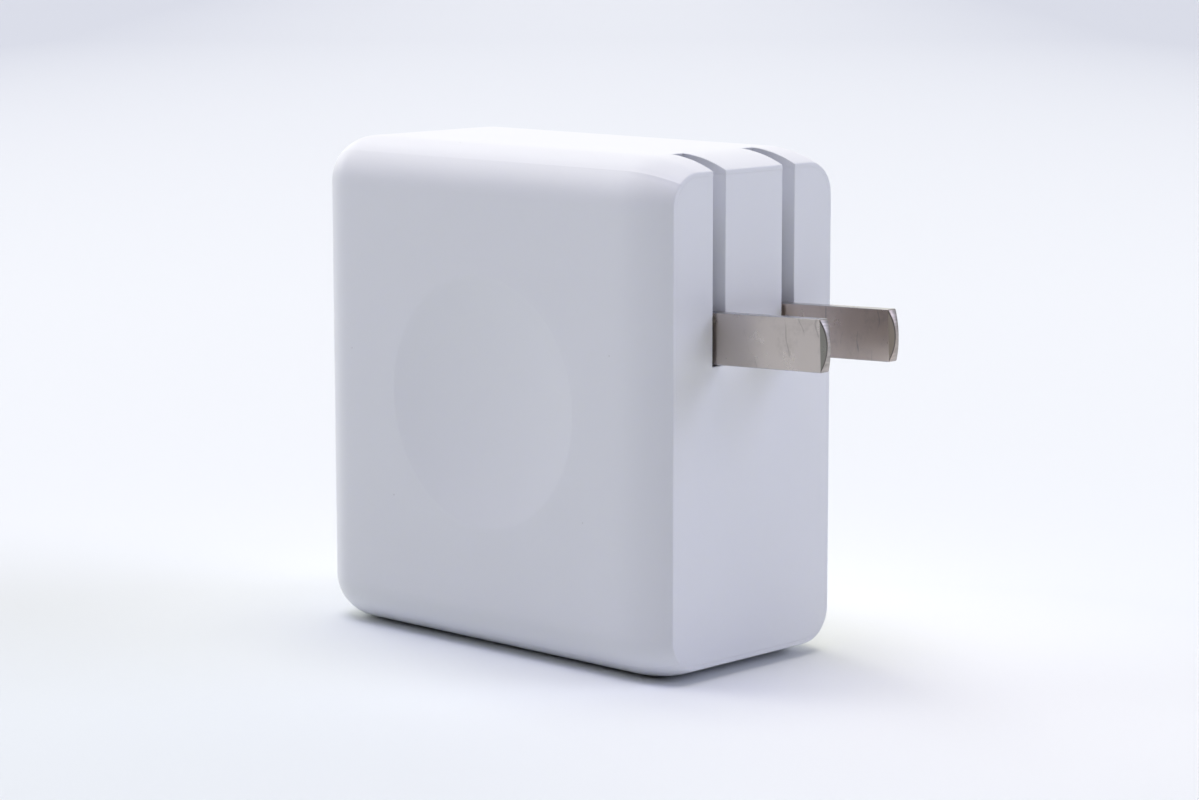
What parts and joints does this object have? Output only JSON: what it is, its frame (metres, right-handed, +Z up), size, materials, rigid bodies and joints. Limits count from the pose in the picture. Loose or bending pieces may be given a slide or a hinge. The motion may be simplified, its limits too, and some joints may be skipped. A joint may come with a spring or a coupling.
{
  "type": "laptop power adapter",
  "caption": "Square white wall-plug power adapter with fold-out blades and a USB-C outlet in the opposite end.",
  "frame": {"origin": "centre of the narrow bottom face that the adapter stands on", "axes": "+X out of the blade face, Y through the thickness, +Z up towards the open ends of the blade slots"},
  "size_m": [0.0797, 0.0324, 0.064],
  "materials": {
    "case_white": "satin moulded polycarbonate",
    "cover_white": "satin moulded polycarbonate",
    "inner_plastic": "moulded nylon",
    "rotor_plastic": "glass-filled nylon",
    "steel": "stamped stainless steel",
    "spring_steel": "spring steel strip",
    "nickel_blade": "nickel-plated, fine rub marks",
    "bronze": "phosphor bronze strip",
    "gold_plate": "gold flash",
    "black_plastic": "moulded",
    "board_green": "solder-masked laminate",
    "chip_black": "moulded epoxy",
    "sheet_clear": "polyester film",
    "pad_grey": "silicone pad",
    "ferrite": "ground ferrite",
    "copper_wire": "enamelled copper",
    "tape_yellow": "polyester tape",
    "choke_green": "epoxy-coated core",
    "sleeve_dark": "shrink-sleeved can",
    "can_aluminium": "drawn aluminium",
    "film_yellow": "moulded box",
    "disc_blue": "epoxy-dipped disc",
    "disc_green": "epoxy-dipped disc",
    "fuse_brown": "glazed body"
  },
  "bodies": {
    "case": {"main_shell": "case_white", "blade_cover": "cover_white", "rotor_clamp": "inner_plastic", "clamp_screws": "steel", "detent_spring": "spring_steel", "line_contact": "bronze", "neutral_contact": "bronze", "usb_c_shell": "steel", "usb_c_tongue": "black_plastic", "usb_c_contacts": "gold_plate", "outlet_board": "board_green", "board_pins": "gold_plate", "pd_controller": "chip_black", "output_switch": "chip_black", "main_board": "board_green", "insulation_sheet": "sheet_clear", "thermal_pad": "pad_grey", "transformer_core_front": "ferrite", "transformer_core_back": "ferrite", "transformer_bobbin": "black_plastic", "transformer_winding": "copper_wire", "transformer_tape": "tape_yellow", "choke_core": "choke_green", "choke_windings": "copper_wire", "bulk_capacitors": "sleeve_dark", "output_capacitors": "can_aluminium", "x_capacitor": "film_yellow", "y_capacitor": "disc_blue", "fuse": "fuse_brown", "inrush_thermistor": "disc_green", "bridge_rectifier": "chip_black", "primary_switch": "chip_black", "primary_heatsink": "can_aluminium", "pwm_controller": "chip_black", "sync_rectifier": "chip_black", "optocoupler": "chip_black", "chip_resistors": "chip_black"},
    "blades": {"blade_rotor": "rotor_plastic", "line_blade": "nickel_blade", "neutral_blade": "nickel_blade"}
  },
  "joints": [
    {"name": "blade_hinge", "type": "hinge", "parent": "case", "child": "blades", "pos_m": [0.0272, 0, 0.0419], "axis": [0, -1, 0], "range_deg": [-2.2, 87.8]}
  ]
}
